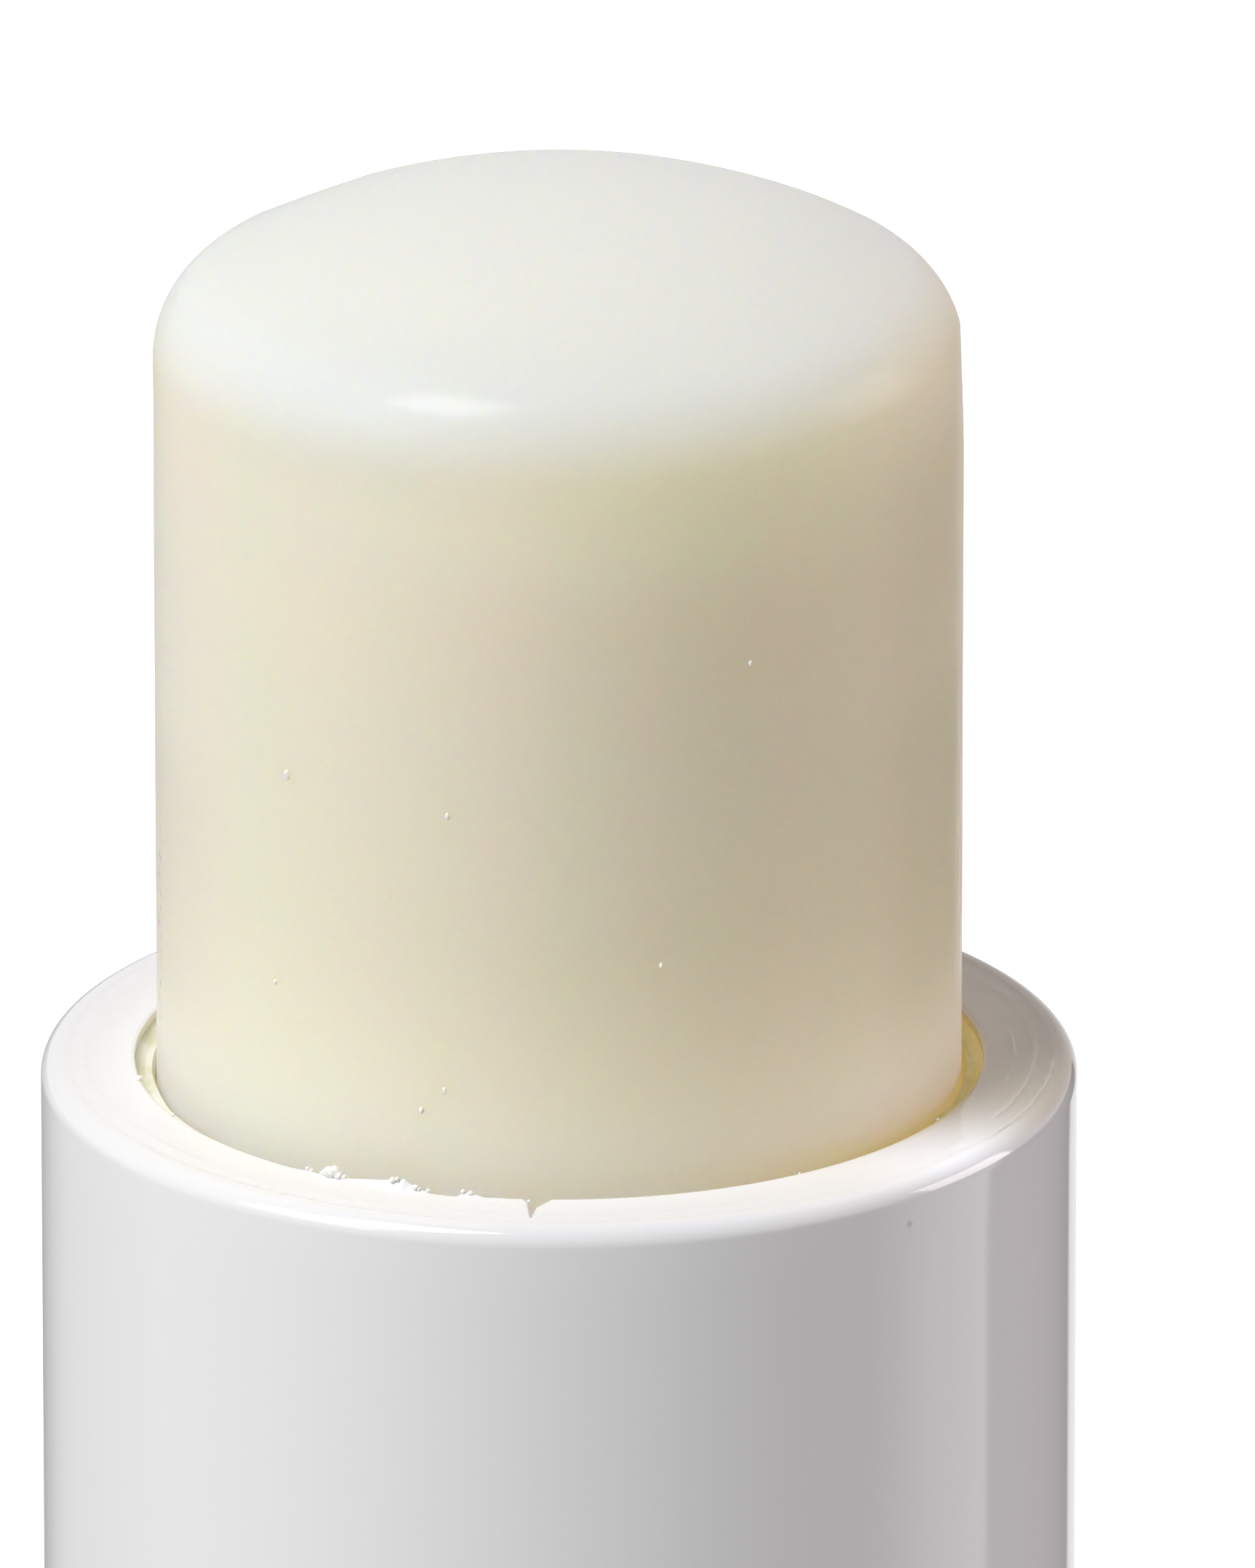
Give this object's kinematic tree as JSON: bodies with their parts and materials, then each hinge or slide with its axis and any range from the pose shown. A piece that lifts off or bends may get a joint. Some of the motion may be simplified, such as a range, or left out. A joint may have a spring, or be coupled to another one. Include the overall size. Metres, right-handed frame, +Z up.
{
  "type": "lip balm stick",
  "caption": "Uncapped twist-up lip balm stick: domed wax bullet in a round barrel with a cap neck, keyed elevator cup and lead screw on a ribbed thumb wheel.",
  "frame": {"origin": "centre of the thumb wheel's foot, on the surface the stick stands on", "axes": "+Z up the barrel to the bullet's tip; +X to the right and +Y away from the viewer in the picture"},
  "size_m": [0.0174, 0.0174, 0.0738],
  "materials": {
    "barrel_plastic": "white moulded polypropylene, glossy, with fine witness rings on the rim",
    "wheel_plastic": "white moulded polypropylene, glossy, ribbed grip",
    "cup_plastic": "natural moulded polypropylene, satin",
    "balm_wax": "pale cream beeswax balm, satin skin with faint mould marks"
  },
  "bodies": {
    "barrel": {"barrel": "barrel_plastic"},
    "wheel": {"screw_wheel": "wheel_plastic"},
    "bullet": {"elevator_cup": "cup_plastic", "balm": "balm_wax"}
  },
  "joints": [
    {"name": "wheel_turn", "type": "hinge", "parent": "barrel", "child": "wheel", "pos_m": [0, 0, 0.007], "axis": [0, 0, 1], "range_deg": [-1842, 1986]},
    {"name": "bullet_rise", "type": "slide", "parent": "barrel", "child": "bullet", "axis": [0, 0, 1], "range_m": [-0.0153, 0.0165]}
  ],
  "couplings": [
    {"joint": "wheel_turn", "follows": "bullet_rise", "rad_per_m": 2094.4}
  ]
}
